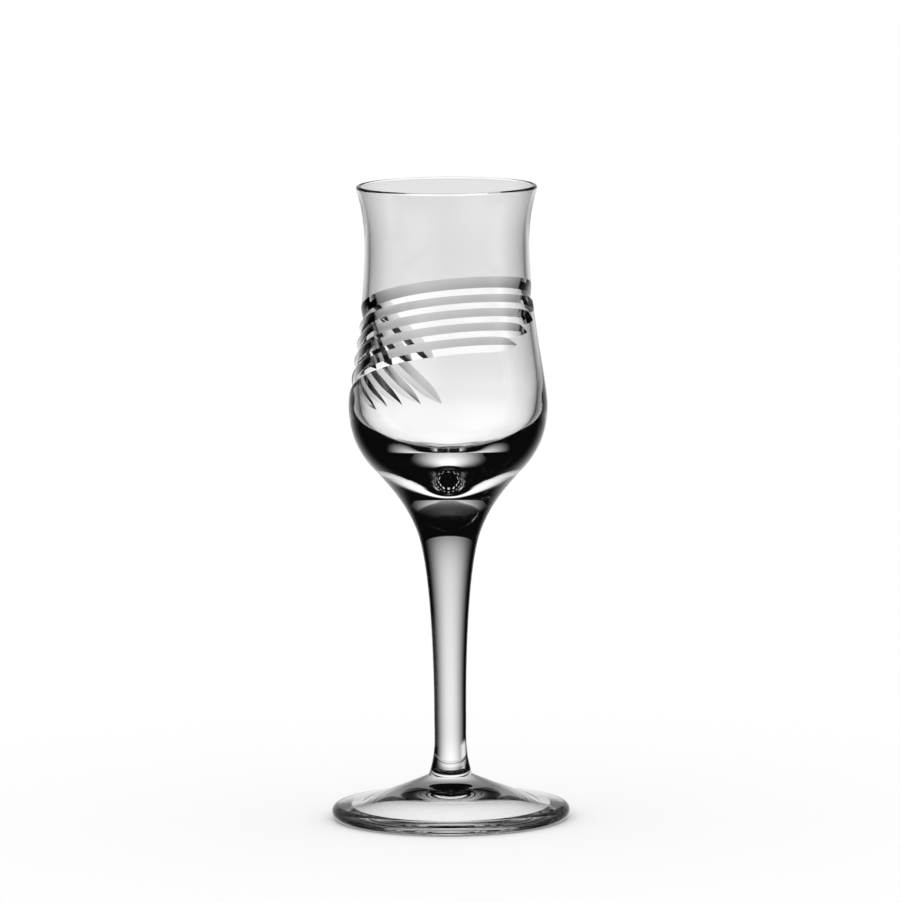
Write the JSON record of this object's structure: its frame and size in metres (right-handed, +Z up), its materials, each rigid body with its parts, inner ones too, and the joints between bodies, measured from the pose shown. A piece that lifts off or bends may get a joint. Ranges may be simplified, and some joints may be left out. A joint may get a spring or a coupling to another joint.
{
  "type": "dessert wine glass",
  "caption": "Stemmed dessert wine glass in clear crystal: flared rim, slim waist, round bulge with a thick base, sweeping bevelled cuts round the bowl, drawn stem and round foot.",
  "frame": {"origin": "centre of the foot's underside, on the table", "axes": "+Z up along the stem's axis; -Y is the pictured front, +X is the side on which the cuts run out"},
  "size_m": [0.0656, 0.0656, 0.175],
  "materials": {
    "bowl_glass": "fire-polished clear crystal with wheel-cut and polished bevels",
    "stem_glass": "fire-polished clear crystal, drawn",
    "foot_glass": "fire-polished clear crystal with a worn standing ring"
  },
  "bodies": {
    "root": {"bowl": "bowl_glass", "stem": "stem_glass", "foot": "foot_glass"}
  },
  "joints": []
}
